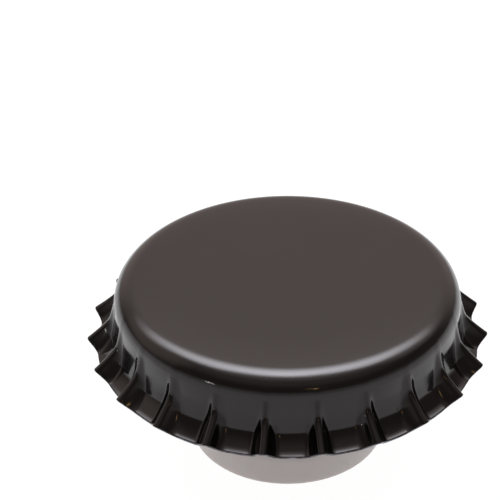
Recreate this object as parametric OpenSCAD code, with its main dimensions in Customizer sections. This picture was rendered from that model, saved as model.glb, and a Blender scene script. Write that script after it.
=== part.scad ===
// Crown cap with a fluted skirt, a moulded sealing liner and a hollow stopper cup.
// The cap stands upright on the open rim of the cup: +Z is up, and z = 0 is the rim.

/* [Crown] */
// Diameter over the tooth tips
tooth_d = 35; // [34:0.1:36.5]
// Height of the crown, from the top panel down to the lowest edge of the lip
crown_h = 6.2; // [5.7:0.1:6.8]
// How far the tooth tips reach beyond the wall where the shoulder ends
tooth_reach = 2.6; // [2.3:0.05:2.9]
// Outward slope of the wall, in degrees
wall_slope = 11; // [6:1:13]
// Outer radius of the shoulder
shoulder_r = 2; // [1.4:0.1:2.4]
// Thickness of the tinplate sheet
sheet_t = 0.24; // [0.18:0.01:0.3]

/* [Flutes] */
// Number of teeth round the skirt
tooth_n = 23; // [21:1:25]
// Angle of the first tooth from +X, in degrees
tooth_phase = 13; // [0:0.5:15]
// How far the lip between two teeth lies inside the tooth tips
lip_depth = 0.6; // [0.4:0.05:0.9]
// How far the tooth tips stand above the lip between them
tooth_lift = 0.85; // [0.6:0.05:1]
// Width of a ridge's crest
ridge_w = 0.6; // [0.5:0.05:0.9]
// Slope of a ridge's flanks beside the crest, in degrees
flank_slope = 50; // [46:1:58]
// How hollow the flanks are, from 1 for flat ones
flank_hollow = 1.5; // [1:0.1:1.8]
// Flare of a ridge from the vertical, in degrees
ridge_flare = 48; // [44:1:54]
// Bend radius where a ridge leaves the wall
ridge_bend_r = 3.5; // [2.5:0.25:4]
// Flare of the lip between two ridges from the vertical, in degrees
valley_flare = 49; // [44:1:54]
// Bend radius where the wall between two ridges turns out
valley_bend_r = 0.35; // [0.2:0.05:0.8]

/* [Liner] */
// Thickness of the liner's flat web
web_t = 0.3; // [0.2:0.05:0.5]
// Height of the sealing bead below the panel
bead_h = 1.1; // [0.9:0.05:1.4]
// Radius of the bead's crest
bead_r = 0.6; // [0.4:0.05:0.7]
// Radius of the fillet between the bead and the web
bead_fillet_r = 0.3; // [0.1:0.05:0.5]
// Clearance between the liner's edge and the crown's wall
liner_gap = 0.05; // [0.05:0.01:0.15]

/* [Stopper cup] */
// Height of the cup, from its open rim to its closed end
cup_h = 15.5; // [12:0.5:18]
// Diameter of the plug that fills the bottle's bore
plug_d = 18.4; // [17.6:0.1:19.2]
// How far the open rim lies inside the plug's face
rim_inset = 0.5; // [0.3:0.05:0.8]
// Length of the taper from the rim to the plug's full diameter
lead_in = 3; // [2:0.25:4]
// Thickness of the wall at the open rim
rim_wall = 0.5; // [0.4:0.05:0.8]
// Draft of the hollow on each side, in degrees
bore_draft = 1; // [0.5:0.25:1.5]
// Thickness of the closed end
floor_t = 1.2; // [0.8:0.1:1.6]
// Radius inside the hollow where the wall meets the floor
floor_r = 1; // [0.4:0.1:1.4]
// Radius on the outer edge of the closed end
seat_edge_r = 0.4; // [0.2:0.1:0.8]
// Radius on both edges of the open rim
rim_edge_r = 0.12; // [0.05:0.01:0.18]

/* [Centre pin] */
// Depth of the pin's tip below the open rim
pin_recess = 2.7; // [1.5:0.1:5]
// Diameter of the pin at its tip
pin_tip_d = 0.5; // [0.4:0.05:0.8]
// Diameter of the pin at the floor
pin_root_d = 1.6; // [1.2:0.1:2.2]
// Radius at the pin's root
pin_root_r = 0.5; // [0.2:0.1:0.8]

/* [Hidden] */
$fn = 96;

// Heights of the stack: the cup's closed end carries the web, and the web carries the panel.
web_z = cup_h;
panel_in_z = web_z + web_t;
panel_z = panel_in_z + sheet_t;

// The lip's cut edge is square to the sheet, so its outer corner is above its lowest one.
lip_z = panel_z - crown_h + sheet_t * sin(valley_flare);
tip_z = panel_z - crown_h + tooth_lift + sheet_t * sin(ridge_flare);

// The shoulder's arc ends where its tangent has the slope of the wall.
wall_r = tooth_d / 2 - tooth_reach;
shoulder_c = [wall_r - shoulder_r * cos(wall_slope), panel_z - shoulder_r];
wall_top = shoulder_c + shoulder_r * [cos(wall_slope), sin(wall_slope)];

// Facets of the crown: rows on the shoulder, and rows on the skirt's wall, valley bend and flare
shoulder_rows = 4;
skirt_rows = [6, 2, 2];
inner_shoulder_rows = 4;
inner_skirt_rows = [3, 1, 2];

// ---- Crown: a sheet lofted between the meridian of a ridge and that of a valley ----

// A meridian runs down the wall, turns through a bend and ends on a straight flare.
// It is kept as [wall length, bend radius, flare angle, flare length].
function meridian(lip, flare, bend) =
    let (
        turn = flare - wall_slope,
        d = [lip[0] - wall_top[0], wall_top[1] - lip[1]],
        to_corner = (d[1] * sin(flare) - d[0] * cos(flare)) / sin(turn),
        from_corner = (d[0] * cos(wall_slope) - d[1] * sin(wall_slope)) / sin(turn),
        r = min(bend, 0.95 * min(to_corner, from_corner) / tan(turn / 2)),
        tangent = r * tan(turn / 2)
    )
    [to_corner - tangent, r, flare, from_corner - tangent];

function bend_length(m) = m[1] * (m[2] - wall_slope) * PI / 180;
function meridian_length(m) = m[0] + bend_length(m) + m[3];

// Slope from the vertical at length s of a meridian
function slope_at(m, s) =
    wall_slope + (m[2] - wall_slope) * max(0, min(1, (s - m[0]) / bend_length(m)));

// Point [radius, height] of the outer face at length s of a meridian
function outer_at(m, s) =
    let (
        a = slope_at(m, s),
        down_wall = min(s, m[0]),
        down_flare = max(0, s - m[0] - bend_length(m))
    )
    wall_top
    + down_wall * [sin(wall_slope), -cos(wall_slope)]
    + m[1] * [cos(wall_slope) - cos(a), sin(wall_slope) - sin(a)]
    + down_flare * [sin(a), -cos(a)];

// The same point moved into the sheet by depth, square to the meridian
function meridian_point(m, part, depth) =
    let (
        s = part * meridian_length(m),
        a = slope_at(m, s)
    )
    outer_at(m, s) - depth * [cos(a), sin(a)];

ridge = meridian([tooth_d / 2, tip_z], ridge_flare, ridge_bend_r);
valley = meridian([tooth_d / 2 - lip_depth, lip_z], valley_flare, valley_bend_r);

// The skirt's rows as parts of its length: a row lies on each edge of the valley's bend.
function skirt_parts(rows) =
    let (
        bend_start = valley[0] / meridian_length(valley),
        bend_end = (valley[0] + bend_length(valley)) / meridian_length(valley),
        marks = [0, bend_start, bend_end, 1]
    )
    [for (k = [0 : 2], i = [1 : rows[k]]) marks[k] + (marks[k + 1] - marks[k]) * i / rows[k]];
outer_parts = skirt_parts(skirt_rows);
inner_parts = skirt_parts(inner_skirt_rows);

// Cross-section of the flutes: a narrow crest between two hollow flanks, which grow wider as
// their ridge grows higher. Inside the sheet their edges lie nearer to the crest.
half_pitch = PI * tooth_d / tooth_n / 2;
lip_ridge_h = norm(meridian_point(ridge, 1, 0) - meridian_point(valley, 1, 0));
function crest_edge(depth) = ridge_w / 2 - depth * tan(flank_slope / 2);
function flank_w(h) = flank_hollow * max(h, 0.001) / tan(flank_slope);

// 1 on the crest and 0 in the valley, x from the crest's middle, for a ridge of height h
function flute(x, h, depth) =
    pow(max(0, min(1, 1 - (x - crest_edge(depth)) / flank_w(h))), flank_hollow);

// Places of the points from a crest's middle to the next valley's: three divide the flank.
function half_places(depth) =
    let (
        edge = crest_edge(depth),
        step = min(flank_w(lip_ridge_h), 0.9 * (half_pitch - edge)) / 3
    )
    [0, edge, edge + step, edge + 2 * step, edge + 3 * step, half_pitch];
half_points = len(half_places(0)) - 1;
points_round = 2 * half_points * tooth_n;

// Rows of points, from crest over valley to the next crest. f gives [radius, height] at a place.
function ring(f, depth) =
    let (places = half_places(depth))
    [
        for (t = [0 : tooth_n - 1], k = [0 : 2 * half_points - 1])
            let (
                x = places[min(k, 2 * half_points - k)],
                to_next = (k < half_points) ? x : 2 * half_pitch - x,
                a = tooth_phase + 360 * (t + to_next / half_pitch / 2) / tooth_n,
                p = f(x)
            )
            [p[0] * cos(a), p[0] * sin(a), p[1]]
    ];

function shoulder_row(angle, depth) =
    ring(function(x) shoulder_c + (shoulder_r - depth) * [cos(angle), sin(angle)], depth);

function skirt_row(part, depth) =
    let (
        on_ridge = meridian_point(ridge, part, depth),
        in_valley = meridian_point(valley, part, depth),
        h = norm(on_ridge - in_valley)
    )
    ring(function(x) in_valley + (on_ridge - in_valley) * flute(x, h, depth), depth);

function arc_angle(i, n) = 90 + (wall_slope - 90) * i / n;

module crown_shell() {
    rows = [
        for (i = [0 : shoulder_rows]) shoulder_row(arc_angle(i, shoulder_rows), 0),
        for (part = outer_parts) skirt_row(part, 0),
        for (i = [len(inner_parts) - 1 : -1 : 0]) skirt_row(inner_parts[i], sheet_t),
        for (i = [inner_shoulder_rows : -1 : 0])
            shoulder_row(arc_angle(i, inner_shoulder_rows), sheet_t)
    ];
    n = points_round;
    last = len(rows) - 1;
    top = n * len(rows);
    centres = [[0, 0, panel_z], [0, 0, panel_in_z]];
    bands = [
        for (i = [0 : last - 1], j = [0 : n - 1])
            let (
                a = i * n + j,
                b = i * n + (j + 1) % n,
                c = b + n,
                d = a + n
            )
            each (j % (2 * half_points) < half_points)
                ? [[a, b, c], [a, c, d]]
                : [[a, b, d], [b, c, d]]
    ];
    panel = [for (j = [0 : n - 1]) [top, (j + 1) % n, j]];
    underside = [for (j = [0 : n - 1]) [top + 1, last * n + j, last * n + (j + 1) % n]];
    color("#3b3637")
        polyhedron(concat([for (row = rows) each row], centres), concat(bands, panel, underside));
}

// ---- Liner: a web on the panel and a round bead in the crown's corner ----

// The crown's corner has flat facets, so the liner's is rounder and clears the first of them.
corner_facet = (90 - wall_slope) / inner_shoulder_rows;
corner_r = (shoulder_r - sheet_t) / (1 - tan(corner_facet / 4));
liner_r = shoulder_c[0] + shoulder_r - sheet_t - liner_gap;
liner_edge = liner_r - corner_r + sqrt(pow(corner_r, 2) - pow(corner_r - bead_h, 2));
bead_c = [liner_edge - bead_r, bead_r - bead_h];
fillet_y = -web_t - bead_fillet_r;
fillet_x = bead_c[0] - sqrt(pow(bead_r + bead_fillet_r, 2) - pow(bead_c[1] - fillet_y, 2));

// Section with y = 0 on the panel's underside
module liner_section() {
    intersection() {
        union() {
            translate([0, -web_t])
                square([bead_c[0], web_t]);
            translate(bead_c)
                circle(bead_r);
            translate([bead_c[0] - bead_r, bead_c[1]])
                square([2 * bead_r, -bead_c[1]]);
            difference() {
                polygon([[fillet_x, 0], [fillet_x, fillet_y], bead_c, [bead_c[0], 0]]);
                translate([fillet_x, fillet_y])
                    circle(bead_fillet_r);
            }
        }
        union() {
            translate([0, -bead_h])
                square([liner_r - corner_r, bead_h]);
            translate([liner_r - corner_r, -corner_r])
                circle(corner_r);
        }
    }
}

module sealing_liner() {
    color("#e6e6e4")
        translate([0, 0, panel_in_z])
            rotate_extrude()
                liner_section();
}

// ---- Stopper cup: a hollow plug, open at z = 0, with a pin on its floor ----

rim_r = plug_d / 2 - rim_inset;
bore_r = rim_r - rim_wall;
floor_z = cup_h - floor_t;
bore_floor_r = bore_r - floor_z * tan(bore_draft);
pin_z = pin_recess + pin_tip_d / 2;

// A rectangle from the axis to x, with a rounded corner at its top
module rounded_top(x, y, h, r) {
    translate([0, y])
        square([x, h - r]);
    translate([0, y])
        square([x - r, h]);
    translate([x - r, y + h - r])
        circle(r);
}

module plug_outline() {
    polygon([[0, rim_edge_r], [rim_r, rim_edge_r], [plug_d / 2, lead_in], [0, lead_in]]);
    square([rim_r - rim_edge_r, 2 * rim_edge_r]);
    translate([rim_r - rim_edge_r, rim_edge_r])
        circle(rim_edge_r);
    rounded_top(plug_d / 2, lead_in, cup_h - lead_in, seat_edge_r);
}

module hollow_outline() {
    knee_r = bore_floor_r + floor_r * tan(bore_draft);
    polygon([[0, 0], [bore_r, 0], [knee_r, floor_z - floor_r], [0, floor_z - floor_r]]);
    rounded_top(knee_r, floor_z - 2 * floor_r, 2 * floor_r, floor_r);
    difference() {
        translate([bore_r - rim_edge_r, 0])
            square([2 * rim_edge_r, rim_edge_r]);
        translate([bore_r + rim_edge_r, rim_edge_r])
            circle(rim_edge_r);
    }
}

module pin_outline() {
    root = pin_root_d / 2;
    polygon([[0, pin_z], [pin_tip_d / 2, pin_z], [root, floor_z], [0, floor_z]]);
    intersection() {
        translate([0, pin_z])
            circle(pin_tip_d / 2);
        translate([0, pin_recess])
            square([pin_tip_d, pin_tip_d]);
    }
    difference() {
        translate([0, floor_z - pin_root_r])
            square([root + pin_root_r, pin_root_r]);
        translate([root + pin_root_r, floor_z - pin_root_r])
            circle(pin_root_r);
    }
}

module stopper_cup() {
    color("#f2f3f1")
        rotate_extrude() {
            difference() {
                plug_outline();
                hollow_outline();
            }
            pin_outline();
        }
}

crown_shell();
sealing_liner();
stopper_cup();
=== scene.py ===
"""Bottle cap: a fluted crown with a sealing liner and a hollow stopper cup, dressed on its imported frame."""

import math

import bmesh
import bpy
from bpy.props import (
    FloatProperty,
    FloatVectorProperty,
    IntProperty,
    PointerProperty,
)
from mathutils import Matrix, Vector


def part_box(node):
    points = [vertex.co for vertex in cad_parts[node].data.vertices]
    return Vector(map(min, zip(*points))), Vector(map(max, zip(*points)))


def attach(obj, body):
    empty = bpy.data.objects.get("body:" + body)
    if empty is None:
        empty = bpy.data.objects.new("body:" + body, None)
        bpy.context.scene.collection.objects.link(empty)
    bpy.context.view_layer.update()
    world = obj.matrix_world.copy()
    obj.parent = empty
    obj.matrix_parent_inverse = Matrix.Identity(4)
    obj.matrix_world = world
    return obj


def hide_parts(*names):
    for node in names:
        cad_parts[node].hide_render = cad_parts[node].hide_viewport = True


bl_info = {
    "name": "Bottle cap",
    "version": (1, 0, 0),
    "blender": (4, 5, 0),
    "location": "3D View > Sidebar > Bottle cap",
    "description": "Builds a fluted crown cap with its sealing liner and stopper cup",
    "category": "Object",
}

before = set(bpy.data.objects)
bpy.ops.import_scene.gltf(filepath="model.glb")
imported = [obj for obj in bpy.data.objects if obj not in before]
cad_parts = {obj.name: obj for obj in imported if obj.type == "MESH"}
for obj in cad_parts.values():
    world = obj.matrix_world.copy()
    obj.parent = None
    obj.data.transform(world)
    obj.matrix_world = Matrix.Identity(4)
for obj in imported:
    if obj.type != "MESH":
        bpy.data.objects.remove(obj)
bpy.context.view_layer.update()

MM = 0.001
CROWN_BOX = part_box("crown_shell")
CUP_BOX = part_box("stopper_cup")


def widest(node):
    """Largest distance of a CAD node's points from the cap's axis."""
    return max(math.hypot(v.co.x, v.co.y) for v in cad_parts[node].data.vertices)


# ---- Sizes and colours ----


def length(label, text, default, soft_max=0.05):
    return FloatProperty(
        name=label,
        description=text,
        default=default,
        min=0.0,
        soft_max=soft_max,
        precision=5,
        unit="LENGTH",
    )


def angle(label, text, degrees):
    return FloatProperty(
        name=label, description=text, default=math.radians(degrees), subtype="ANGLE"
    )


def share(label, text, default):
    return FloatProperty(
        name=label, description=text, default=default, min=0.0, max=1.0, subtype="FACTOR"
    )


def lengths(label, text, default):
    return FloatVectorProperty(
        name=label,
        description=text,
        size=len(default),
        default=[v * MM for v in default],
        min=0.0,
        precision=5,
        unit="LENGTH",
    )


def angles(label, text, degrees):
    return FloatVectorProperty(
        name=label,
        description=text,
        size=len(degrees),
        default=[math.radians(v) for v in degrees],
        unit="ROTATION",
    )


def colour(label, text, default):
    return FloatVectorProperty(
        name=label, description=text, default=default, size=3, min=0.0, max=1.0, subtype="COLOR"
    )


class CrownSizes(bpy.types.PropertyGroup):
    """Sizes of the pressed crown."""

    tooth_diameter: length(
        "Tooth diameter", "Diameter over the tooth tips", 2 * widest("crown_shell")
    )
    top: length("Top", "Height of the shoulder's highest line above the floor", CROWN_BOX[1].z)
    shoulder_radius: length("Shoulder radius", "Outer radius of the shoulder", 2 * MM)
    sheet: length("Sheet", "Thickness of the tinplate sheet", 0.24 * MM)
    edge_round: length("Edge round", "How far the cut edge is rounded back", 0.05 * MM)
    roll_width: length("Panel roll", "Width of the gentle slope at the panel's edge", 4 * MM)
    roll_slope: angle("Panel roll slope", "Slope of the panel where it meets the shoulder", 3.5)
    teeth: IntProperty(
        name="Teeth", description="Number of teeth round the skirt", default=23, min=8, max=40
    )
    tooth_phase: angle("Tooth phase", "Angle of the first tooth from the X axis", 13)
    ridge_start: length(
        "Ridge start", "How far a ridge stands out where the shoulder ends", 0.02 * MM
    )
    ridge_arcs: lengths(
        "Ridge arcs",
        "Lengths of a ridge's arcs, down from the shoulder",
        (0.2, 0.85, 0.4, 0.35, 0.4, 0.5, 1.88),
    )
    ridge_slopes: angles(
        "Ridge slopes",
        "Slopes from the vertical at the ends of its arcs",
        (5, 16, 16.5, 17.2, 31, 42, 47, 50),
    )
    valley_arcs: lengths(
        "Valley arcs",
        "Lengths of a valley's arcs, down from the shoulder",
        (1.25, 1.35, 0.42, 0.14, 1.2, 0.35, 0.35),
    )
    valley_slopes: angles(
        "Valley slopes",
        "Slopes from the vertical at the ends of its arcs",
        (5, 4, 14, 12, 30, 44, 57, 65),
    )
    crest_width: length("Crest width", "Width of a ridge's crest", 0.5 * MM)
    crest_round: length("Crest round", "Distance over which a crest rounds into its flanks", 0.1 * MM)
    flank_start: length("Flank start", "Width of a flank where its ridge begins", 0.55 * MM)
    flank_growth: FloatProperty(
        name="Flank growth",
        description="Widening of a flank for each height of its ridge",
        default=0.55,
    )
    flank_hollow: FloatProperty(
        name="Flank hollow", description="How hollow the flanks are, from 1 for flat ones", default=2.0
    )
    unevenness: length("Unevenness", "How far the pressed teeth stray from even", 0.08 * MM)
    unevenness_size: length("Unevenness size", "Distance over which the teeth stray", 4 * MM)
    seed: IntProperty(name="Seed", description="Picks another unevenness", default=11)


class LinerSizes(bpy.types.PropertyGroup):
    """Sizes of the moulded sealing liner."""

    web: length("Web", "Thickness of the flat web", 0.3 * MM)
    bead_height: length("Bead height", "Height of the sealing bead below the panel", 1.1 * MM)
    bead_radius: length("Bead radius", "Radius of the bead's crest", 0.6 * MM)
    fillet: length("Fillet", "Radius between the bead and the web", 0.3 * MM)
    corner: length("Corner", "Radius of the corner that sits in the crown's shoulder", 1.94 * MM)
    gap: length("Gap", "Clearance to the crown's wall", 0.05 * MM)


class CupSizes(bpy.types.PropertyGroup):
    """Sizes of the hollow stopper cup and its centre pin."""

    height: length("Height", "From the open rim to the closed end", CUP_BOX[1].z)
    diameter: length("Diameter", "Diameter of the plug", 2 * widest("stopper_cup"))
    rim_inset: length("Rim inset", "How far the rim lies inside the plug's face", 0.5 * MM)
    lead_in: length("Lead-in", "Length of the taper behind the rim", 3 * MM)
    rim_wall: length("Rim wall", "Thickness of the wall at the rim", 0.5 * MM)
    rim_edge: length("Rim edge", "Radius on both edges of the rim", 0.12 * MM)
    bore_draft: angle("Bore draft", "Draft of the hollow on each side", 1)
    floor: length("Floor", "Thickness of the closed end", 1.2 * MM)
    floor_corner: length("Floor corner", "Radius inside where wall and floor meet", 1 * MM)
    lead_in_round: length("Lead-in round", "Radius where the taper meets the plug's face", 3 * MM)
    seat_edge: length("Seat edge", "Radius on the closed end's outer edge", 0.4 * MM)
    pin_recess: length("Pin recess", "Depth of the pin's tip below the rim", 2.7 * MM)
    pin_tip: length("Pin tip", "Diameter of the pin at its tip", 0.5 * MM)
    pin_root: length("Pin root", "Diameter of the pin at the floor", 1.6 * MM)
    pin_fillet: length("Pin fillet", "Radius at the pin's root", 0.5 * MM)


class CapFinishes(bpy.types.PropertyGroup):
    """Colours and gloss of the four finishes."""

    lacquer: colour("Lacquer", "Black lacquer on the outside", (0.0009, 0.0006, 0.0005))
    lacquer_roughness: share("Lacquer roughness", "Roughness of the black lacquer", 0.12)
    peel: length("Orange peel", "Depth of the lacquer's fine grain", 0.0025 * MM)
    silver: colour("Silver lacquer", "Clear lacquer over tin on the inside", (0.66, 0.62, 0.56))
    silver_roughness: share("Silver roughness", "Roughness of the inside lacquer", 0.34)
    steel: colour("Cut edge", "Bare steel at the sheet's cut edge", (0.2, 0.2, 0.23))
    liner: colour("Liner", "White of the moulded liner", (0.72, 0.72, 0.71))
    # Painted shade: the milky white cup's colour is darkened to grey, the tone of the shade under the crown.
    cup: colour("Cup", "Milky white of the stopper cup", (0.44, 0.41, 0.405))
    cup_depth: length("Cup depth", "How far light travels inside the cup's plastic", 1.2 * MM)


class StageSizes(bpy.types.PropertyGroup):
    """Camera, floor and lights."""

    camera_distance: length("Camera distance", "From the camera to its target", 135.7 * MM, 1.0)
    camera_height: length("Target height", "Height of the camera's target", 11.17 * MM)
    camera_elevation: angle("Elevation", "Camera above the horizon", 35.17)
    camera_shift: FloatVectorProperty(
        name="Camera shift",
        description="Shift of the picture to the side and up, as parts of its width",
        size=2,
        default=(-0.0749, 0.1443),
    )
    lens: FloatProperty(
        name="Lens", description="Focal length on a 36 mm sensor", default=111.5, unit="CAMERA"
    )
    floor_radius: length("Floor radius", "Radius of the pale floor", 3.0, 5.0)
    floor_glow: share("Floor glow", "Even brightness of the floor round the cap", 0.965)
    floor_front: colour("Floor in front", "Glow of the floor in front of the cap", (0.76, 0.69, 0.71))
    floor_far: colour("Far floor", "Glow of the floor far in front", (0.4, 0.39, 0.39))
    softbox_glow: FloatProperty(
        name="Softbox glow", description="Brightness of the softbox, with white as 1", default=11.4
    )


PROPERTY_GROUPS = {
    "cap_crown": CrownSizes,
    "cap_liner": LinerSizes,
    "cap_cup": CupSizes,
    "cap_finishes": CapFinishes,
    "cap_stage": StageSizes,
}


# ---- Node trees: formulas are written on wires ----


class Wire:
    """A number on a socket of a node tree, with arithmetic that adds Math nodes."""

    def __init__(self, socket):
        self.socket = socket

    def __add__(self, other):
        return calc("ADD", self, other)

    def __radd__(self, other):
        return calc("ADD", other, self)

    def __sub__(self, other):
        return calc("SUBTRACT", self, other)

    def __rsub__(self, other):
        return calc("SUBTRACT", other, self)

    def __mul__(self, other):
        return calc("MULTIPLY", self, other)

    def __rmul__(self, other):
        return calc("MULTIPLY", other, self)

    def __truediv__(self, other):
        return calc("DIVIDE", self, other)

    def __rtruediv__(self, other):
        return calc("DIVIDE", other, self)

    def __pow__(self, other):
        return calc("POWER", self, other)


def feed(socket, value):
    """Links a wire to a socket, or sets a plain value on it."""
    if isinstance(value, Wire):
        socket.id_data.links.new(value.socket, socket)
    else:
        socket.default_value = value


def add_node(tree, kind, inputs=None, **settings):
    """Adds a node, sets its properties and feeds its inputs, by name or number."""
    node = tree.nodes.new(kind)
    for name, value in settings.items():
        setattr(node, name, value)
    for key, value in (inputs or {}).items():
        feed(node.inputs[key], value)
    return node


def calc(operation, *values):
    tree = next(v.socket.id_data for v in values if isinstance(v, Wire))
    node = add_node(tree, "ShaderNodeMath", dict(enumerate(values)), operation=operation)
    return Wire(node.outputs[0])


def sin(x):
    return calc("SINE", x)


def cos(x):
    return calc("COSINE", x)


def size_of(x):
    return calc("ABSOLUTE", x)


def sign_of(x):
    return calc("SIGN", x)


def smaller(a, b):
    return calc("MINIMUM", a, b)


def larger(a, b):
    return calc("MAXIMUM", a, b)


def between_0_and_1(x):
    return larger(0.0, smaller(1.0, x))


def mix(a, b, part):
    return a + (b - a) * part


def soft_ramp(x, rounding):
    """0 below 0 and x above it, with a rounded corner."""
    return (x + calc("SQRT", x * x + rounding * rounding)) / 2


def split_vector(tree, vector):
    node = add_node(tree, "ShaderNodeSeparateXYZ", {0: vector})
    return [Wire(output) for output in node.outputs]


def join_vector(tree, x, y, z):
    return Wire(add_node(tree, "ShaderNodeCombineXYZ", {0: x, 1: y, 2: z}).outputs[0])


def new_geometry_tree(name, inputs, outputs):
    """Makes a geometry tree and returns it with its input wires by name and its output node."""
    tree = bpy.data.node_groups.new(name, "GeometryNodeTree")
    for label, kind in inputs.items():
        tree.interface.new_socket(label, in_out="INPUT", socket_type="NodeSocket" + kind)
    for label, kind in outputs.items():
        tree.interface.new_socket(label, in_out="OUTPUT", socket_type="NodeSocket" + kind)
    source = tree.nodes.new("NodeGroupInput")
    wires = {label: Wire(source.outputs[label]) for label in inputs}
    return tree, wires, tree.nodes.new("NodeGroupOutput")


def tidy_tree(tree):
    """Sets the nodes out in columns, each to the right of all that feed it."""
    column = {}

    def depth(node):
        if node.name not in column:
            column[node.name] = 0
            feeders = [link.from_node for s in node.inputs for link in s.links]
            column[node.name] = 1 + max((depth(n) for n in feeders), default=-1)
        return column[node.name]

    rows = {}
    for node in tree.nodes:
        x = depth(node)
        rows[x] = rows.get(x, 0) + 1
        node.location = (x * 220, -rows[x] * 180)


# ---- Crown: one tooth's sector of the sheet, repeated round the axis ----

ARCS = 7
LINE_INPUTS = [f"Arc {i}" for i in range(1, ARCS + 1)] + [f"Slope {i}" for i in range(ARCS + 1)]
COLUMNS = 37
COLUMN_CROWDING = 1.2
MERGE_DISTANCE = 0.002 * MM
ROWS = {
    "panel": 2,
    "roll": 8,
    "shoulder": 12,
    "skirt": 56,
    "edge": 7,
    "inner panel": 2,
    "inner roll": 4,
    "inner shoulder": 6,
    "inner skirt": 24,
}


def arc_step(arc_length, slope, bend, sin_of=math.sin, cos_of=math.cos):
    """How far out and down an arc leads that starts at a slope and turns by bend."""
    chord = arc_length * (1 - bend * bend / 24)
    middle = slope + bend / 2
    return chord * sin_of(middle), chord * cos_of(middle)


def shoulder_centre(sizes):
    """Radius and height of the shoulder's centre, placed so that the ridges end at the tooth diameter."""
    slopes, r = sizes.ridge_slopes, sizes.shoulder_radius
    out = sum(
        arc_step(arc_length, slope, after - slope)[0]
        for arc_length, slope, after in zip(sizes.ridge_arcs, slopes, slopes[1:])
    )
    wall_r = sizes.tooth_diameter / 2 - sizes.ridge_start - out
    return Vector((wall_r - r * math.cos(slopes[0]), sizes.top - r))


def line_tree():
    """Node group: the point at part of the way down a line of arcs, moved into the sheet by depth."""
    places = ["Part", "Back", "Depth", "Top radius", "Top height"]
    inputs = dict.fromkeys([*places, *LINE_INPUTS], "Float")
    tree, g, out = new_geometry_tree("Skirt line", inputs, {"Radius": "Float", "Height": "Float"})
    arcs = [g[f"Arc {i}"] for i in range(1, ARCS + 1)]
    slopes = [g[f"Slope {i}"] for i in range(ARCS + 1)]
    left = g["Part"] * sum(arcs[1:], arcs[0]) - g["Back"]
    radius, height, slope = g["Top radius"], g["Top height"], slopes[0]
    for arc_length, before, after in zip(arcs, slopes, slopes[1:]):
        done = larger(0.0, smaller(left, arc_length))
        bend = (after - before) * done / arc_length
        step_out, step_down = arc_step(done, before, bend, sin, cos)
        radius, height, slope = radius + step_out, height - step_down, slope + bend
        left = left - arc_length
    feed(out.inputs["Radius"], radius - g["Depth"] * cos(slope))
    feed(out.inputs["Height"], height - g["Depth"] * sin(slope))
    tidy_tree(tree)
    return tree


CROWN_INPUTS = {
    "Teeth": "Int",
    "Tooth phase": "Float",
    "Tooth diameter": "Float",
    "Crest width": "Float",
    "Crest round": "Float",
    "Flank start": "Float",
    "Flank growth": "Float",
    "Flank hollow": "Float",
    "Shoulder radius": "Float",
    "Shoulder centre radius": "Float",
    "Shoulder centre height": "Float",
    "Roll width": "Float",
    "Roll slope": "Float",
    "Ridge start": "Float",
    "Sheet": "Float",
    "Edge round": "Float",
    **{f"Ridge {name}": "Float" for name in LINE_INPUTS},
    **{f"Valley {name}": "Float" for name in LINE_INPUTS},
    "Unevenness": "Float",
    "Unevenness size": "Float",
    "Seed": "Float",
    "Outside": "Material",
    "Inside": "Material",
    "Cut edge": "Material",
}


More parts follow.
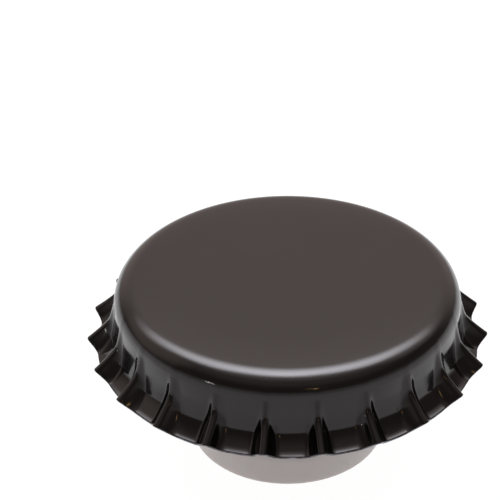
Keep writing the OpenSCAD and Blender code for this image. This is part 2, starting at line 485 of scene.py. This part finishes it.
def crown_tree():
    """Node group: the whole crown, a closed sheet of even thickness."""
    tree, g, out = new_geometry_tree("Fluted crown", CROWN_INPUTS, {"Geometry": "Geometry"})
    line = line_tree()

    # Place on a strip: across runs from -1 to 1 with the ridge at 0, along from 0 to 1.
    x, y, _ = split_vector(tree, Wire(tree.nodes.new("GeometryNodeInputPosition").outputs[0]))
    across = sign_of(x) * size_of(x) ** COLUMN_CROWDING
    along = y + 0.5
    half_pitch = math.pi * g["Tooth diameter"] / g["Teeth"] / 2
    from_crest = size_of(across) * half_pitch

    slope, r = g["Ridge Slope 0"], g["Shoulder radius"]
    centre_r, centre_z = g["Shoulder centre radius"], g["Shoulder centre height"]
    roll, roll_slope, sheet = g["Roll width"], g["Roll slope"], g["Sheet"]
    roll_start = centre_r + r * sin(roll_slope) - roll
    roll_end_z = centre_z + r * cos(roll_slope)
    top_z = roll_end_z + roll * roll_slope / 2
    top_r, wall_top_z = centre_r + r * cos(slope), centre_z + r * sin(slope)

    def flute(height, depth):
        """1 on a crest and 0 in a valley, with hollow flanks that widen with the ridge's height."""
        edge = g["Crest width"] / 2 - depth / 2
        width = g["Flank start"] + g["Flank growth"] * height

        def part_up(x):
            left = 1 - soft_ramp(x - edge, g["Crest round"]) / width
            return larger(0.0, left) ** g["Flank hollow"]

        return part_up(from_crest) / part_up(0.0)

    def skirt(part, back, depth):
        """Point between the ridge's line and the valley's."""
        points = []
        for name, start in (("Ridge", g["Ridge start"]), ("Valley", 0.0)):
            node = add_node(tree, "GeometryNodeGroup", node_tree=line)
            shared = {
                "Part": part,
                "Back": back,
                "Depth": depth,
                "Top radius": top_r + start,
                "Top height": wall_top_z,
            }
            own = {key: g[f"{name} {key}"] for key in LINE_INPUTS}
            for key, value in {**shared, **own}.items():
                feed(node.inputs[key], value)
            points.append((Wire(node.outputs["Radius"]), Wire(node.outputs["Height"])))
        (ridge_r, ridge_z), (valley_r, valley_z) = points
        out, up = ridge_r - valley_r, ridge_z - valley_z
        rise = flute(calc("SQRT", out * out + up * up), depth)
        return valley_r + out * rise, valley_z + up * rise

    def skin(depth):
        """Panel, roll, shoulder and skirt of one face of the sheet, each as radius and height."""
        tilt = mix(math.pi / 2 - roll_slope, slope, along)
        roll_tilt = roll_slope * along
        first = 0.4  # the part of the shoulder's arc that has no ridge yet
        low = between_0_and_1((along - first) / (1 - first))
        ridge = g["Ridge start"] * flute(0.0, depth) * low * low * (3 - 2 * low)
        return (
            (along * roll_start, top_z - depth),
            (
                roll_start + roll * along - depth * sin(roll_tilt),
                top_z - roll * roll_slope / 2 * along**2 - depth * cos(roll_tilt),
            ),
            (centre_r + (r - depth) * cos(tilt) + ridge, centre_z + (r - depth) * sin(tilt)),
            skirt(along, g["Edge round"] * along, depth),
        )

    def strip(rows, radius, height, zone):
        """A grid bent onto the given radius and height, marked with its zone."""
        grid = add_node(
            tree,
            "GeometryNodeMeshGrid",
            {"Size X": 2.0, "Size Y": 1.0, "Vertices X": COLUMNS, "Vertices Y": rows},
        )
        turn = across * (math.pi / g["Teeth"])
        place = join_vector(tree, radius * cos(turn), radius * sin(turn), height)
        bent = add_node(
            tree,
            "GeometryNodeSetPosition",
            {"Geometry": Wire(grid.outputs["Mesh"]), "Position": place},
        )
        marked = add_node(
            tree,
            "GeometryNodeStoreNamedAttribute",
            {"Geometry": Wire(bent.outputs[0]), "Name": "zone", "Value": zone},
            data_type="INT",
            domain="FACE",
        )
        return Wire(marked.outputs[0])

    def joined(strips):
        node = tree.nodes.new("GeometryNodeJoinGeometry")
        for strip_wire in reversed(strips):
            tree.links.new(strip_wire.socket, node.inputs[0])
        return Wire(node.outputs[0])

    parts = ("panel", "roll", "shoulder", "skirt")
    outer = [strip(ROWS[name], *place, 0) for name, place in zip(parts, skin(0.0))]
    round_edge = g["Edge round"] * cos(math.pi * along) ** 4
    edge_depth = sheet * (0.5 - 0.5 * cos(math.pi * along))
    outer.append(strip(ROWS["edge"], *skirt(1.0, round_edge, edge_depth), 1))
    flipped = add_node(tree, "GeometryNodeFlipFaces", {0: joined(outer)})
    inner = [strip(ROWS[f"inner {name}"], *place, 2) for name, place in zip(parts, skin(sheet))]
    sector = joined([Wire(flipped.outputs[0]), *inner])

    # The sector stands on a point for each tooth, all of them on the axis.
    points = add_node(tree, "GeometryNodePoints", {"Count": g["Teeth"]})
    index = Wire(tree.nodes.new("GeometryNodeInputIndex").outputs[0])
    turn = g["Tooth phase"] + index * (2 * math.pi / g["Teeth"])
    rotation = add_node(tree, "FunctionNodeEulerToRotation", {0: join_vector(tree, 0.0, 0.0, turn)})
    teeth = add_node(
        tree,
        "GeometryNodeInstanceOnPoints",
        {
            "Points": Wire(points.outputs[0]),
            "Instance": sector,
            "Rotation": Wire(rotation.outputs[0]),
        },
    )
    realized = add_node(tree, "GeometryNodeRealizeInstances", {0: Wire(teeth.outputs[0])})
    merged = add_node(
        tree,
        "GeometryNodeMergeByDistance",
        {"Geometry": Wire(realized.outputs[0]), "Distance": MERGE_DISTANCE},
    )

    # The press leaves the teeth a little uneven, fully at the lip and not at all on the shoulder.
    uneven_from_shoulder = 1.6 * r
    position = Wire(tree.nodes.new("GeometryNodeInputPosition").outputs[0])
    noise = add_node(
        tree,
        "ShaderNodeTexNoise",
        {"Vector": position, "W": g["Seed"], "Scale": 1 / g["Unevenness size"], "Detail": 1.0},
        noise_dimensions="4D",
    )
    drift = split_vector(tree, Wire(noise.outputs["Color"]))
    _, _, z = split_vector(tree, position)
    hold = g["Unevenness"] * 2 * between_0_and_1((wall_top_z - z) / uneven_from_shoulder)
    shift = join_vector(tree, *[(d - 0.5) * hold for d in drift])
    pressed = add_node(
        tree, "GeometryNodeSetPosition", {"Geometry": Wire(merged.outputs[0]), "Offset": shift}
    )
    smooth = add_node(tree, "GeometryNodeSetShadeSmooth", {0: Wire(pressed.outputs[0])})

    # Finishes by zone: 0 outside, 1 cut edge, 2 inside.
    zone = add_node(
        tree, "GeometryNodeInputNamedAttribute", {"Name": "zone"}, data_type="INT"
    ).outputs["Attribute"]
    whole = Wire(smooth.outputs[0])
    for number, finish in enumerate(("Outside", "Cut edge", "Inside")):
        chosen = add_node(
            tree,
            "FunctionNodeCompare",
            {2: Wire(zone), 3: number},
            data_type="INT",
            operation="EQUAL",
        )
        node = add_node(
            tree,
            "GeometryNodeSetMaterial",
            {"Geometry": whole, "Selection": Wire(chosen.outputs[0]), "Material": g[finish]},
        )
        whole = Wire(node.outputs[0])
    feed(out.inputs["Geometry"], whole)
    tidy_tree(tree)
    return tree


def set_modifier_inputs(modifier, values):
    """Sets a Geometry Nodes modifier's inputs, found by name and set by identifier."""
    for item in modifier.node_group.interface.items_tree:
        if item.item_type == "SOCKET" and item.in_out == "INPUT":
            modifier[item.identifier] = values[item.name]


def line_values(name, arcs, slopes):
    """Values of a skirt line's inputs by name."""
    return {f"{name} {key}": value for key, value in zip(LINE_INPUTS, [*arcs, *slopes])}


def new_piece(name, mesh):
    piece = bpy.data.objects.new(name, mesh)
    bpy.context.scene.collection.objects.link(piece)
    return piece


def make_plain(piece, mesh_name):
    """Turns what a piece's modifiers make into its own mesh and removes them."""
    depsgraph = bpy.context.evaluated_depsgraph_get()
    mesh = bpy.data.meshes.new_from_object(piece.evaluated_get(depsgraph))
    piece.modifiers.clear()
    piece.data = mesh
    mesh.name = mesh_name
    attribute = mesh.attributes.get("zone")
    if attribute:
        mesh.attributes.remove(attribute)


def dress(piece, body, node):
    """The piece rides on a body and stands for a CAD node, which it hides."""
    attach(piece, body)
    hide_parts(node)


# ---- Liner and cup: sections turned round the axis ----


def arc(centre, radius, start, end, steps):
    """Points of an arc, with its angles in degrees."""
    turns = [math.radians(start + (end - start) * i / steps) for i in range(steps + 1)]
    x, y = centre
    return [Vector((x + radius * math.cos(a), y + radius * math.sin(a))) for a in turns]


def direction(vector):
    """Angle of a vector from the X axis, in degrees."""
    return math.degrees(math.atan2(vector.y, vector.x))


def rounded(corners, facet=7.5):
    """Points of a section whose corners (radius, height, rounding) are rounded with arcs."""
    points = [Vector(corners[0][:2])]
    for before, here, after in zip(corners, corners[1:], corners[2:]):
        corner, rounding = Vector(here[:2]), here[2]
        back = (Vector(before[:2]) - corner).normalized()
        on = (Vector(after[:2]) - corner).normalized()
        half = back.angle(on) / 2
        centre = corner + (back + on).normalized() * rounding / math.sin(half)
        start = corner + back * rounding / math.tan(half) - centre
        end = corner + on * rounding / math.tan(half) - centre
        first = direction(start)
        sweep = (direction(end) - first + 180) % 360 - 180
        steps = max(2, math.ceil(abs(sweep) / facet))
        points += arc(centre, rounding, first, first + sweep, steps)
    return points + [Vector(corners[-1][:2])]


def supported(points, margin=0.05 * MM):
    """Adds a point near both ends of each long straight, so that smooth shading stays flat there."""
    made = [points[0]]
    for a, b in zip(points, points[1:]):
        if (b - a).length > 6 * margin:
            along = (b - a).normalized() * margin
            made += [a + along, b - along]
        made.append(b)
    return made


def turned(name, section, segments=192):
    """Turns a section that starts and ends on the axis into a closed smooth mesh."""
    shell = bmesh.new()
    rings = []
    for r, z in section:
        on_axis = r < 1e-9
        if on_axis:
            rings.append([shell.verts.new((0, 0, z))])
        else:
            turns = [2 * math.pi * i / segments for i in range(segments)]
            rings.append([shell.verts.new((r * math.cos(t), r * math.sin(t), z)) for t in turns])
    for upper, lower in zip(rings, rings[1:]):
        for i in range(segments):
            j = (i + 1) % segments
            if len(upper) == 1:
                corners = (upper[0], lower[i], lower[j])
            elif len(lower) == 1:
                corners = (upper[j], upper[i], lower[0])
            else:
                corners = (upper[j], upper[i], lower[i], lower[j])
            shell.faces.new(corners).smooth = True
    bmesh.ops.recalc_face_normals(shell, faces=shell.faces)
    mesh = bpy.data.meshes.new(name)
    shell.to_mesh(mesh)
    shell.free()
    return mesh


def panel_lift(crown, r):
    """How far the panel stands above the shoulder at a distance from the axis."""
    centre = shoulder_centre(crown)
    start = centre.x + crown.shoulder_radius * math.sin(crown.roll_slope) - crown.roll_width
    part = max(0.0, min(1.0, (r - start) / crown.roll_width))
    return crown.roll_width * crown.roll_slope / 2 * (1 - part**2)


LINER_RINGS = (0, 5, 9, 10, 11, 11.8, 12.4)  # in mm, where the liner's top follows the panel's roll


def liner_section(crown, liner):
    """Section of the liner: it fills the shoulder's corner and carries a round bead."""
    top = crown.top - crown.sheet
    centre = shoulder_centre(crown)
    edge = centre.x + crown.shoulder_radius - crown.sheet - liner.gap
    corner = Vector((edge - liner.corner, -liner.corner))
    reach = math.sqrt(liner.corner**2 - (liner.corner - liner.bead_height) ** 2)
    bead = Vector((corner.x + reach - liner.bead_radius, liner.bead_radius - liner.bead_height))
    # The bead's circle crosses the corner's arc below the line between their centres.
    apart = (bead - corner).length
    on_line = (apart**2 + liner.corner**2 - liner.bead_radius**2) / (2 * apart)
    crossing = direction(bead - corner) - math.degrees(math.acos(on_line / liner.corner))
    outer_side = arc(corner, liner.corner, 90, crossing, 14)
    fillet_y = -liner.web - liner.fillet
    side = (liner.bead_radius + liner.fillet) ** 2 - (bead.y - fillet_y) ** 2
    fillet = Vector((bead.x - math.sqrt(side), fillet_y))
    touch = direction(fillet - bead)
    crest = arc(bead, liner.bead_radius, direction(outer_side[-1] - bead), touch, 20)
    inner_side = arc(fillet, liner.fillet, touch + 180, 90, 8)
    panel = [Vector((r * MM, panel_lift(crown, r * MM))) for r in LINER_RINGS]
    section = [*panel, *outer_side, *crest[1:], *inner_side[1:], Vector((0, -liner.web))]
    return supported([Vector((p.x, top + p.y)) for p in section])


def cup_section(cup):
    """Section of the cup, from the middle of its closed end round the rim to the pin's tip."""
    plug_r, rim_r = cup.diameter / 2, cup.diameter / 2 - cup.rim_inset
    bore_r = rim_r - cup.rim_wall
    floor_z = cup.height - cup.floor
    floor_r = bore_r - floor_z * math.tan(cup.bore_draft)
    tip_r = cup.pin_tip / 2
    return supported(
        rounded(
            [
                (0, cup.height, 0),
                (plug_r, cup.height, cup.seat_edge),
                (plug_r, cup.lead_in, cup.lead_in_round),
                (rim_r, 0, cup.rim_edge),
                (bore_r, 0, cup.rim_edge),
                (floor_r, floor_z, cup.floor_corner),
                (cup.pin_root / 2, floor_z, cup.pin_fillet),
                (tip_r, cup.pin_recess, 0.8 * tip_r),
                (0, cup.pin_recess, 0),
            ]
        )
    )


# ---- Finishes ----


def new_material(name):
    """A material with its object coordinates as a wire and its surface shader."""
    material = bpy.data.materials.new(name)
    material.use_nodes = True
    tree = material.node_tree
    shader = tree.nodes["Principled BSDF"]
    place = Wire(tree.nodes.new("ShaderNodeTexCoord").outputs["Object"])
    return material, tree, shader, place


def noise(tree, place, spot, detail=2.0, roughness=0.5):
    """Noise from 0 to 1 whose spots are about as wide as given."""
    node = add_node(
        tree,
        "ShaderNodeTexNoise",
        {"Vector": place, "Scale": 1 / spot, "Detail": detail, "Roughness": roughness},
    )
    return Wire(node.outputs["Fac"])


def spread(tree, value, low, high, to_low, to_high):
    """Maps a range of a wire onto another, held at both ends."""
    node = add_node(
        tree,
        "ShaderNodeMapRange",
        {"Value": value, "From Min": low, "From Max": high, "To Min": to_low, "To Max": to_high},
    )
    return Wire(node.outputs["Result"])


def blend_colours(tree, part, first, second):
    node = add_node(tree, "ShaderNodeMix", {"Factor": part}, data_type="RGBA")
    feed(node.inputs[6], first if isinstance(first, Wire) else (*first, 1.0))
    feed(node.inputs[7], second if isinstance(second, Wire) else (*second, 1.0))
    return Wire(node.outputs[2])


NOISE_MIDDLE = (0.3, 0.7)  # most of a noise lies in this range


def scaled(rgb, factor):
    return tuple(c * factor for c in rgb)


def bump(tree, height, depth, normal=None):
    """Bump whose height from 0 to 1 is as deep as given."""
    node = add_node(tree, "ShaderNodeBump", {"Height": height, "Distance": depth, "Strength": 1.0})
    if normal is not None:
        feed(node.inputs["Normal"], normal)
    return Wire(node.outputs["Normal"])


def black_lacquer(finishes):
    """Glossy black lacquer with a fine orange peel and a few dull specks."""
    material, tree, shader, place = new_material("black lacquer")
    base = tuple(finishes.lacquer)
    cloud = noise(tree, place, 3 * MM, 3.0)
    specks = spread(tree, noise(tree, place, 0.35 * MM, 1.0), 0.78, 0.84, 0.0, 1.0)
    colour_wire = blend_colours(tree, cloud, scaled(base, 0.7), scaled(base, 1.3))
    colour_wire = blend_colours(tree, specks, colour_wire, scaled(base, 20))
    feed(shader.inputs["Base Color"], colour_wire)
    rough = finishes.lacquer_roughness
    varied = spread(tree, cloud, *NOISE_MIDDLE, 0.8 * rough, 1.2 * rough)
    feed(shader.inputs["Roughness"], varied + specks * 0.08)
    shader.inputs["IOR"].default_value = 1.5
    peel = bump(tree, noise(tree, place, 0.3 * MM, 2.0), finishes.peel)
    waves = noise(tree, place, 2.5 * MM, 1.0)
    feed(shader.inputs["Normal"], bump(tree, waves, 4 * finishes.peel, peel))
    tidy_tree(tree)
    return material


def silver_lacquer(finishes):
    """Tin under clear lacquer: rolled streaks across the sheet and cloudy patches."""
    material, tree, shader, place = new_material("silver lacquer")
    base = tuple(finishes.silver)
    rolled = add_node(
        tree, "ShaderNodeMapping", {"Vector": place, "Scale": (1.0, 0.06, 1.0)}
    ).outputs[0]
    streak = noise(tree, Wire(rolled), 0.12 * MM, 2.0)
    cloud = noise(tree, place, 1.2 * MM, 3.0)
    tone = blend_colours(tree, cloud, scaled(base, 0.86), scaled(base, 1.08))
    feed(shader.inputs["Base Color"], blend_colours(tree, streak * 0.3, tone, scaled(base, 0.7)))
    shader.inputs["Metallic"].default_value = 1.0
    rough = finishes.silver_roughness
    feed(shader.inputs["Roughness"], spread(tree, cloud, *NOISE_MIDDLE, 0.85 * rough, 1.15 * rough))
    grain = bump(tree, streak, 0.0015 * MM)
    feed(shader.inputs["Normal"], bump(tree, cloud, 0.006 * MM, grain))
    tidy_tree(tree)
    return material


def cut_edge(finishes):
    """Sheared steel with lacquer drawn over parts of it."""
    material, tree, shader, place = new_material("cut edge")
    covered = spread(tree, noise(tree, place, 0.9 * MM, 3.0), 0.4, 0.6, 0.0, 1.0)
    steel, lacquer = tuple(finishes.steel), scaled(finishes.lacquer, 4)
    feed(shader.inputs["Base Color"], blend_colours(tree, covered, steel, lacquer))
    feed(shader.inputs["Metallic"], 1 - covered)
    drawn = noise(tree, place, 0.1 * MM)
    feed(shader.inputs["Roughness"], spread(tree, drawn, *NOISE_MIDDLE, 0.25, 0.45))
    feed(shader.inputs["Normal"], bump(tree, noise(tree, place, 0.06 * MM), 0.004 * MM))
    tidy_tree(tree)
    return material


def liner_plastic(finishes):
    """Satin white plastic with a faint pressed grain."""
    material, tree, shader, place = new_material("liner plastic")
    base = tuple(finishes.liner)
    cloud = noise(tree, place, 2 * MM, 3.0)
    tone = blend_colours(tree, cloud, scaled(base, 0.94), scaled(base, 1.04))
    feed(shader.inputs["Base Color"], tone)
    feed(shader.inputs["Roughness"], spread(tree, cloud, *NOISE_MIDDLE, 0.38, 0.5))
    shader.inputs["IOR"].default_value = 1.5
    shader.inputs["Subsurface Weight"].default_value = 0.5
    shader.inputs["Subsurface Scale"].default_value = 0.4 * MM
    shader.inputs["Subsurface Radius"].default_value = (1.0, 1.0, 1.0)
    feed(shader.inputs["Normal"], bump(tree, noise(tree, place, 0.25 * MM), 0.004 * MM))
    tidy_tree(tree)
    return material


def cup_plastic_with_painted_shade(finishes):
    """Milky plastic that lets light through, with faint flow lines down the mould; its colour is darkened to
    grey as painted shade.
    """
    material, tree, shader, place = new_material("cup plastic with painted shade")
    # Painted shade: the cup's colour is darkened grey to stand for the shade under the crown.
    base = tuple(finishes.cup)
    cloud = noise(tree, place, 4 * MM, 2.0)
    drawn = add_node(tree, "ShaderNodeMapping", {"Vector": place, "Scale": (1.0, 1.0, 0.08)})
    flow = noise(tree, Wire(drawn.outputs[0]), 0.5 * MM, 2.0)
    tone = blend_colours(tree, cloud, scaled(base, 0.97), scaled(base, 1.02))
    feed(shader.inputs["Base Color"], tone)
    feed(shader.inputs["Roughness"], spread(tree, flow, *NOISE_MIDDLE, 0.3, 0.4))
    shader.inputs["IOR"].default_value = 1.51
    shader.inputs["Subsurface Weight"].default_value = 1.0
    shader.inputs["Subsurface Scale"].default_value = finishes.cup_depth
    shader.inputs["Subsurface Radius"].default_value = (1.0, 0.95, 0.9)
    grain = bump(tree, noise(tree, place, 0.15 * MM), 0.0015 * MM)
    feed(shader.inputs["Normal"], bump(tree, flow, 0.004 * MM, grain))
    tidy_tree(tree)
    return material


# ---- Stage ----

FLOOR_MIDDLE_Y = 0.06  # the floor's rings of brightness lie round a point behind the cap
FLOOR_FRONT_RING = (0.078, 0.09)
FLOOR_FAR_RING = (0.105, 0.24)
FLOOR_GREY = (0.08, 0.08, 0.08, 1.0)
BACKDROP = 0.95  # brightness of the empty backdrop as the camera sees it


def smooth_step(tree, value, start, end):
    """0 before start and 1 beyond end, softly between them; start may lie above end."""
    node = add_node(
        tree,
        "ShaderNodeMapRange",
        {"Value": value, "From Min": start, "From Max": end},
        interpolation_type="SMOOTHSTEP",
    )
    return Wire(node.outputs["Result"])


def floor_material(sizes):
    """A pale floor that glows evenly, dims in front of the cap and is clear from below."""
    material = bpy.data.materials.new("pale floor")
    material.use_nodes = True
    tree = material.node_tree
    tree.nodes.clear()
    place = Wire(tree.nodes.new("ShaderNodeTexCoord").outputs["Object"])
    x, y, _ = split_vector(tree, place)
    y = y - FLOOR_MIDDLE_Y
    away = calc("SQRT", x * x + y * y)
    near, front, far = (sizes.floor_glow,) * 3, tuple(sizes.floor_front), tuple(sizes.floor_far)
    tone = blend_colours(tree, smooth_step(tree, away, *FLOOR_FRONT_RING), near, front)
    tone = blend_colours(tree, smooth_step(tree, away, *FLOOR_FAR_RING), tone, far)
    light = add_node(tree, "ShaderNodeEmission", {"Color": tone, "Strength": 1.0})
    matte = add_node(tree, "ShaderNodeBsdfDiffuse", {"Color": FLOOR_GREY})
    both = add_node(
        tree, "ShaderNodeAddShader", {0: Wire(light.outputs[0]), 1: Wire(matte.outputs[0])}
    )
    clear = tree.nodes.new("ShaderNodeBsdfTransparent")
    behind = Wire(tree.nodes.new("ShaderNodeNewGeometry").outputs["Backfacing"])
    surface = add_node(
        tree,
        "ShaderNodeMixShader",
        {0: behind, 1: Wire(both.outputs[0]), 2: Wire(clear.outputs[0])},
    )
    out = tree.nodes.new("ShaderNodeOutputMaterial")
    feed(out.inputs["Surface"], Wire(surface.outputs[0]))
    tidy_tree(tree)
    return material


def studio_world(sizes):
    """A dim studio with a pale back wall and a wide soft light that leans over from behind."""
    world = bpy.data.worlds.new("studio")
    world.use_nodes = True
    tree = world.node_tree
    tree.nodes.clear()
    way = Wire(tree.nodes.new("ShaderNodeTexCoord").outputs["Generated"])
    x, y, z = split_vector(tree, way)

    def toward(azimuth, elevation, start, end):
        """1 near a direction and 0 away from it; azimuth runs from the front to the right."""
        a, e = math.radians(azimuth), math.radians(elevation)
        aim = (math.sin(a) * math.cos(e), -math.cos(a) * math.cos(e), math.sin(e))
        dot = add_node(tree, "ShaderNodeVectorMath", {0: way, 1: aim}, operation="DOT_PRODUCT")
        low, high = math.cos(math.radians(end)), math.cos(math.radians(start))
        return smooth_step(tree, Wire(dot.outputs["Value"]), low, high)

    # The softbox as it lies on a level ceiling: u to the side, v to the back, both at height 1.
    ceiling = larger(z, 0.05)
    u, v = size_of(x) / ceiling, y / ceiling
    narrow_v, wide_v = -0.16, 0.83
    half_width = 0.32 + 1.14 * larger(narrow_v, smaller(wide_v, v))
    side_edge, front_edge, back_edge = (0.52, -0.5), (-0.3, 0.04), (0.89, 0.01)
    softbox = (
        smooth_step(tree, u - half_width, *side_edge)
        * smooth_step(tree, v, *front_edge)
        * smooth_step(tree, v, *back_edge)
    )
    softbox_tint = (1.02, 1.0, 1.07)

    # The dimmer lights, each with its brightness and its tint.
    back = toward(180, 30, 0, 70)
    overhead = smooth_step(tree, z, 0.4, 0.8)
    near_floor = smooth_step(tree, z, 0.2, -0.03)
    both_sides = toward(-105, 65, 0, 13) + toward(105, 65, 0, 13)
    lights = {
        "room": (0.14 + 0.56 * back + 0.22 * overhead * (1 - back), (1.2, 1.0, 0.94)),
        "left wall": (0.49 * toward(-98, 27, 0, 31), (1.17, 1.0, 0.9)),
        "front floor": (0.35 * near_floor * toward(0, 0, 50, 100), (1.15, 1.0, 1.0)),
        "high back": (0.91 * toward(180, 77, 0, 49), (1.15, 1.0, 1.0)),
        "left window": (1.08 * toward(-121, 46, 0, 20), (1.05, 1.0, 1.05)),
        "right window": (0.66 * toward(114, 49, 0, 28), (1.12, 1.0, 1.0)),
        "side lamps": (1.6 * both_sides, (1.0, 1.0, 1.05)),
    }
    (room, room_tint), *others = lights.values()
    seen = Wire(tree.nodes.new("ShaderNodeLightPath").outputs["Is Camera Ray"])
    channels = []
    for k, white in enumerate(softbox_tint):
        dim = sum((amount * tint[k] for amount, tint in others), room * room_tint[k])
        lit = mix(dim, sizes.softbox_glow * white, softbox)
        channels.append(mix(lit, BACKDROP, seen))
    background = add_node(tree, "ShaderNodeBackground", {"Color": join_vector(tree, *channels)})
    out = tree.nodes.new("ShaderNodeOutputWorld")
    feed(out.inputs["Surface"], Wire(background.outputs[0]))
    tidy_tree(tree)
    return world


def glint(name, azimuth, elevation, distance, radius, glow, tint):
    """A small round lamp, as bright as its glow, that puts a spark in the lacquer."""
    light = bpy.data.lights.new(name, "AREA")
    light.shape = "DISK"
    light.size = 2 * radius
    light.color = tint
    light.energy = glow * math.pi * (math.pi * radius**2)
    lamp = bpy.data.objects.new(name, light)
    a, e = math.radians(azimuth), math.radians(elevation)
    away = Vector((math.sin(a) * math.cos(e), -math.cos(a) * math.cos(e), math.sin(e)))
    lamp.location = away * distance
    lamp.rotation_euler = away.to_track_quat("Z", "Y").to_euler()
    bpy.context.scene.collection.objects.link(lamp)


# ---- Operators ----


class CAP_OT_build_crown(bpy.types.Operator):
    """Build the fluted crown"""

    bl_idname = "cap.build_crown"
    bl_label = "Build crown"

    def execute(self, context):
        sizes, finishes = context.scene.cap_crown, context.scene.cap_finishes
        centre = shoulder_centre(sizes)
        piece = new_piece("crown", bpy.data.meshes.new("crown"))
        modifier = piece.modifiers.new("Fluted crown", "NODES")
        modifier.node_group = crown_tree()
        set_modifier_inputs(
            modifier,
            {
                "Teeth": sizes.teeth,
                "Tooth phase": sizes.tooth_phase,
                "Tooth diameter": sizes.tooth_diameter,
                "Crest width": sizes.crest_width,
                "Crest round": sizes.crest_round,
                "Flank start": sizes.flank_start,
                "Flank growth": sizes.flank_growth,
                "Flank hollow": sizes.flank_hollow,
                "Shoulder radius": sizes.shoulder_radius,
                "Shoulder centre radius": centre.x,
                "Shoulder centre height": centre.y,
                "Roll width": sizes.roll_width,
                "Roll slope": sizes.roll_slope,
                "Ridge start": sizes.ridge_start,
                "Sheet": sizes.sheet,
                "Edge round": sizes.edge_round,
                **line_values("Ridge", sizes.ridge_arcs, sizes.ridge_slopes),
                **line_values("Valley", sizes.valley_arcs, sizes.valley_slopes),
                "Unevenness": sizes.unevenness,
                "Unevenness size": sizes.unevenness_size,
                "Seed": float(sizes.seed),
                "Outside": black_lacquer(finishes),
                "Inside": silver_lacquer(finishes),
                "Cut edge": cut_edge(finishes),
            },
        )
        make_plain(piece, "crown")
        dress(piece, "root", "crown_shell")
        return {"FINISHED"}


class CAP_OT_build_liner(bpy.types.Operator):
    """Build the sealing liner"""

    bl_idname = "cap.build_liner"
    bl_label = "Build liner"

    def execute(self, context):
        scene = context.scene
        section = liner_section(scene.cap_crown, scene.cap_liner)
        piece = new_piece("liner", turned("liner", section))
        piece.data.materials.append(liner_plastic(scene.cap_finishes))
        dress(piece, "root", "sealing_liner")
        return {"FINISHED"}


class CAP_OT_build_cup(bpy.types.Operator):
    """Build the hollow stopper cup"""

    bl_idname = "cap.build_cup"
    bl_label = "Build stopper cup"

    def execute(self, context):
        scene = context.scene
        piece = new_piece("cup", turned("cup", cup_section(scene.cap_cup)))
        piece.data.materials.append(cup_plastic_with_painted_shade(scene.cap_finishes))
        dress(piece, "root", "stopper_cup")
        return {"FINISHED"}


class CAP_OT_build_stage(bpy.types.Operator):
    """Build the floor, the lights and the camera"""

    bl_idname = "cap.build_stage"
    bl_label = "Build stage"

    def execute(self, context):
        scene, sizes = context.scene, context.scene.cap_stage
        shape = bmesh.new()
        bmesh.ops.create_circle(shape, cap_ends=True, radius=sizes.floor_radius, segments=96)
        floor_mesh = bpy.data.meshes.new("floor")
        shape.to_mesh(floor_mesh)
        shape.free()
        floor = new_piece("floor", floor_mesh)
        floor_mesh.materials.append(floor_material(sizes))

        distance = 0.5
        warm, white = (1.0, 0.6, 0.25), (1.0, 0.95, 0.9)
        glint("warm spark", 16, 23, distance, radius=0.025, glow=4, tint=warm)
        glint("white spark", -47, 5, distance, radius=0.007, glow=40, tint=white)
        scene.world = studio_world(sizes)
        scene.view_settings.view_transform = "Standard"

        camera_data = bpy.data.cameras.new("camera")
        camera_data.lens = sizes.lens
        camera_data.sensor_width = 36
        camera_data.shift_x, camera_data.shift_y = sizes.camera_shift
        camera_data.clip_start, camera_data.clip_end = 0.005, 20
        camera = bpy.data.objects.new("camera", camera_data)
        up = sizes.camera_elevation
        away = Vector((0, -math.cos(up), math.sin(up)))
        camera.location = Vector((0, 0, sizes.camera_height)) + away * sizes.camera_distance
        camera.rotation_euler = away.to_track_quat("Z", "Y").to_euler()
        scene.collection.objects.link(camera)
        scene.camera = camera
        return {"FINISHED"}


class CAP_PT_panel(bpy.types.Panel):
    """The cap's sizes, finishes and pieces"""

    bl_label = "Bottle cap"
    bl_idname = "CAP_PT_panel"
    bl_space_type = "VIEW_3D"
    bl_region_type = "UI"
    bl_category = "Bottle cap"

    def draw(self, context):
        layout = self.layout
        for name, group in PROPERTY_GROUPS.items():
            box = layout.box()
            for key in group.__annotations__:
                box.prop(getattr(context.scene, name), key)
        for operator in OPERATORS:
            layout.operator(operator.bl_idname)


OPERATORS = (CAP_OT_build_stage, CAP_OT_build_crown, CAP_OT_build_liner, CAP_OT_build_cup)


def register():
    for group in PROPERTY_GROUPS.values():
        bpy.utils.register_class(group)
    for name, group in PROPERTY_GROUPS.items():
        setattr(bpy.types.Scene, name, PointerProperty(type=group))
    for operator in OPERATORS:
        bpy.utils.register_class(operator)
    bpy.utils.register_class(CAP_PT_panel)


def unregister():
    bpy.utils.unregister_class(CAP_PT_panel)
    for operator in reversed(OPERATORS):
        bpy.utils.unregister_class(operator)
    for name, group in PROPERTY_GROUPS.items():
        delattr(bpy.types.Scene, name)
        bpy.utils.unregister_class(group)


def main():
    register()
    bpy.ops.cap.build_stage()
    bpy.ops.cap.build_crown()
    bpy.ops.cap.build_liner()
    bpy.ops.cap.build_cup()


if __name__ == "__main__":
    main()
